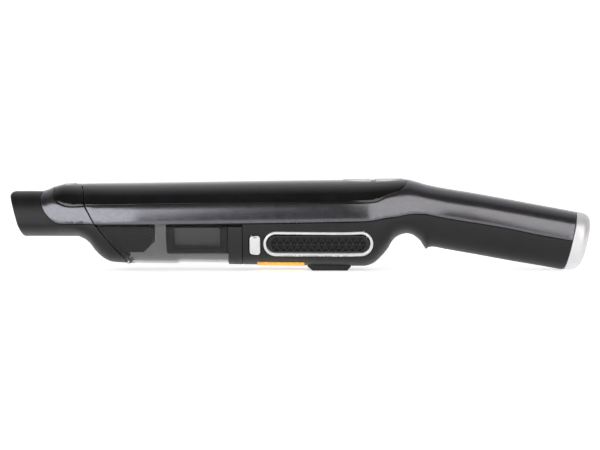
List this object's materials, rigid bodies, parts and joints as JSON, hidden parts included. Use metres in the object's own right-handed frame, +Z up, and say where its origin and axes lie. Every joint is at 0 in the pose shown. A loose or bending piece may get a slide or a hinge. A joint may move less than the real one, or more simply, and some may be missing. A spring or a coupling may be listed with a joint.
{
  "type": "handheld vacuum",
  "caption": "Slim cordless handheld vacuum with a slanted inlet nozzle, clear dust cup, side vents and an angled handle.",
  "frame": {"origin": "on the surface the vacuum lies on, under the middle of its bounding box", "axes": "+X toward the handle, nozzle toward -X, +Z up"},
  "size_m": [0.4363, 0.0668, 0.0691],
  "materials": {
    "satin_grey": "satin metallic grey",
    "gloss_black": "piano gloss",
    "matt_black": "fine spark-eroded grain",
    "smoke_clear": "smoke-grey clear plastic",
    "silver": "satin silver paint",
    "inner_black": "matt",
    "rubber_black": "matt",
    "steel": "machined",
    "copper": "enamelled wire",
    "filter_white": "pleated fleece",
    "board_green": "solder mask",
    "cell_wrap": "shrink wrap",
    "gold": "plated contact",
    "label_yellow": "plain sticker",
    "lead_red": "insulation"
  },
  "bodies": {
    "body": {"upper_housing": "satin_grey", "top_panel": "gloss_black", "lower_housing": "matt_black", "vent_trim_left": "silver", "vent_trim_right": "silver", "vent_grille_left": "inner_black", "vent_grille_right": "inner_black", "rating_label": "label_yellow", "charging_block": "inner_black", "charging_contact_1": "gold", "charging_contact_2": "gold", "handle_end_cap": "silver", "housing_screw_1": "steel", "housing_screw_2": "steel", "housing_screw_3": "steel", "front_bulkhead": "inner_black", "bulkhead_seal": "rubber_black", "fan_shroud": "inner_black", "motor_can": "steel", "motor_stator": "copper", "bearing_front": "steel", "bearing_rear": "steel", "motor_mount_front": "rubber_black", "motor_mount_rear": "rubber_black", "motor_board": "board_green", "control_board": "board_green", "power_switch": "inner_black", "mode_switch": "inner_black", "battery_cell_1": "cell_wrap", "battery_cell_2": "cell_wrap", "cell_holder_front": "inner_black", "cell_holder_rear": "inner_black", "battery_board": "board_green", "battery_lead_red": "lead_red", "battery_lead_black": "rubber_black"},
    "rotor": {"rotor_shaft": "steel", "rotor_magnet": "steel", "impeller": "matt_black"},
    "power_button": {"power_button": "silver"},
    "mode_button": {"mode_button": "silver"},
    "release_button_left": {"release_button_left": "silver"},
    "release_button_right": {"release_button_right": "silver"},
    "cup": {"dust_cup": "smoke_clear", "cup_rear_ring": "inner_black", "hinge_pin": "steel"},
    "filter": {"filter_cage": "inner_black", "filter_screen": "steel", "filter_pleats": "filter_white", "filter_gasket": "rubber_black"},
    "door": {"nozzle_door": "matt_black", "front_visor": "satin_grey", "front_inlay": "gloss_black", "inlet_duct": "inner_black", "door_seal": "rubber_black"},
    "door_button": {"door_button": "silver"},
    "flap": {"inlet_flap": "rubber_black"}
  },
  "joints": [
    {"name": "cup_slide", "type": "slide", "parent": "body", "child": "cup", "axis": [-1, 0, 0], "range_m": [0, 0.15]},
    {"name": "filter_slide", "type": "slide", "parent": "cup", "child": "filter", "axis": [1, 0, 0], "range_m": [0, 0.08]},
    {"name": "door_hinge", "type": "hinge", "parent": "cup", "child": "door", "pos_m": [-0.128, 0, 0.0073], "axis": [0, -1, 0], "range_deg": [0, 90]},
    {"name": "flap_hinge", "type": "hinge", "parent": "door", "child": "flap", "pos_m": [-0.14, 0, 0.0474], "axis": [0, -1, 0], "range_deg": [0, 60]},
    {"name": "power_press", "type": "slide", "parent": "body", "child": "power_button", "axis": [0, 0, -1], "range_m": [0, 0.0012], "stiffness_N_per_m": 1200, "springref_m": -0.0005},
    {"name": "mode_press", "type": "slide", "parent": "body", "child": "mode_button", "axis": [0, 0, -1], "range_m": [0, 0.0012], "stiffness_N_per_m": 1200, "springref_m": -0.0005},
    {"name": "door_press", "type": "slide", "parent": "door", "child": "door_button", "axis": [0, 0, -1], "range_m": [0, 0.0015], "stiffness_N_per_m": 1200, "springref_m": -0.0005},
    {"name": "release_press_left", "type": "slide", "parent": "body", "child": "release_button_left", "axis": [0, 1, 0], "range_m": [0, 0.002], "stiffness_N_per_m": 1500, "springref_m": -0.0005},
    {"name": "release_press_right", "type": "slide", "parent": "body", "child": "release_button_right", "axis": [0, -1, 0], "range_m": [0, 0.002], "stiffness_N_per_m": 1500, "springref_m": -0.0005},
    {"name": "rotor_spin", "type": "hinge", "parent": "body", "child": "rotor", "pos_m": [0, 0, 0.036], "axis": [1, 0, 0], "continuous": true}
  ],
  "couplings": [
    {"joint": "filter_slide", "follows": "cup_slide", "ratio": 0.5}
  ]
}
